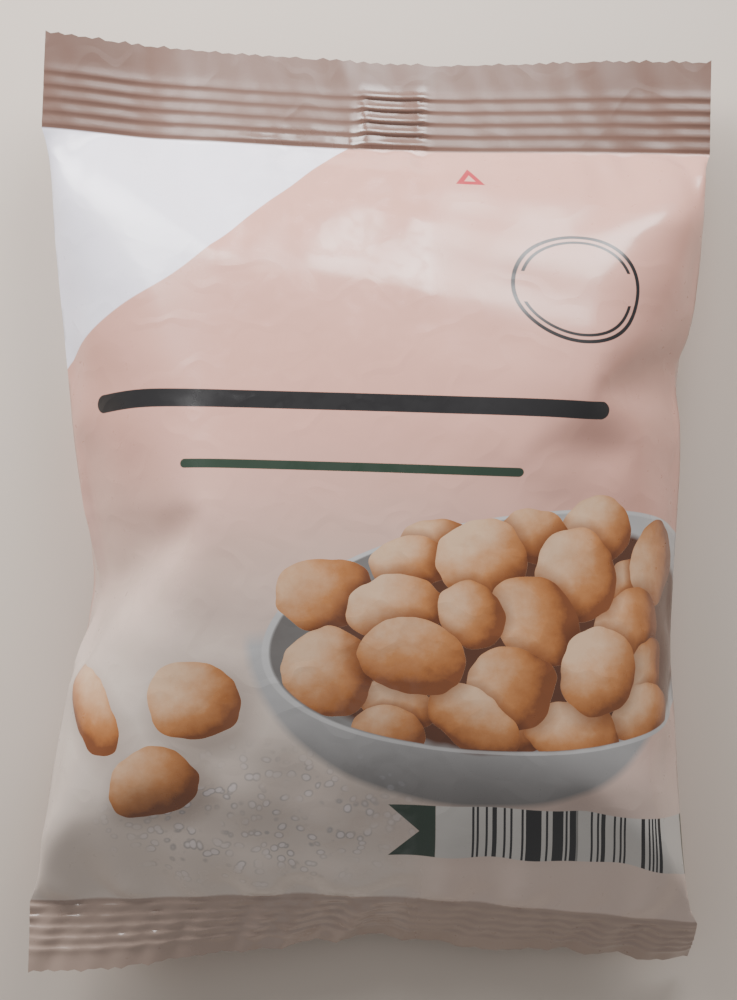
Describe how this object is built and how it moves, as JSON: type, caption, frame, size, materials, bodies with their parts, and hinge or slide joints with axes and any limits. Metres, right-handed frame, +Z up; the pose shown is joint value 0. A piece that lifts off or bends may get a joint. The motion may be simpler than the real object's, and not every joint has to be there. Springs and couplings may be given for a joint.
{
  "type": "filled pillow bag",
  "caption": "Sealed snack pillow bag, printed film with crimped ends and a folded fin seam down its back, lying flat and filled with loose roasted macadamia kernels",
  "frame": {"origin": "below the middle of the bag, on the surface that it lies on, at the centre of the bounding box's base", "axes": "+Z up through the front panel, +Y along the bag towards the top seal, +X across to the right of the printed front"},
  "size_m": [0.12, 0.1677, 0.0419],
  "materials": {
    "film": "dusty pink printed film, satin, darker rose brown at the crimped ends",
    "kernel": "roasted golden brown nut, dry and slightly salted"
  },
  "bodies": {
    "root": {"film_bag": "film", "kernel_01": "kernel", "kernel_02": "kernel", "kernel_03": "kernel", "kernel_04": "kernel", "kernel_05": "kernel", "kernel_06": "kernel", "kernel_07": "kernel", "kernel_08": "kernel", "kernel_09": "kernel", "kernel_10": "kernel", "kernel_11": "kernel", "kernel_12": "kernel", "kernel_13": "kernel", "kernel_14": "kernel", "kernel_15": "kernel", "kernel_16": "kernel", "kernel_17": "kernel", "kernel_18": "kernel", "kernel_19": "kernel", "kernel_20": "kernel", "kernel_21": "kernel", "kernel_22": "kernel", "kernel_23": "kernel", "kernel_24": "kernel", "kernel_25": "kernel", "kernel_26": "kernel", "kernel_27": "kernel", "kernel_28": "kernel", "kernel_29": "kernel", "kernel_30": "kernel", "kernel_31": "kernel", "kernel_32": "kernel", "kernel_33": "kernel", "kernel_34": "kernel", "kernel_35": "kernel", "kernel_36": "kernel", "kernel_37": "kernel", "kernel_38": "kernel", "kernel_39": "kernel", "kernel_40": "kernel", "kernel_41": "kernel", "kernel_42": "kernel", "kernel_43": "kernel", "kernel_44": "kernel", "kernel_45": "kernel", "kernel_46": "kernel", "kernel_47": "kernel", "kernel_48": "kernel", "kernel_49": "kernel", "kernel_50": "kernel", "kernel_51": "kernel", "kernel_52": "kernel", "kernel_53": "kernel", "kernel_54": "kernel"}
  },
  "joints": []
}
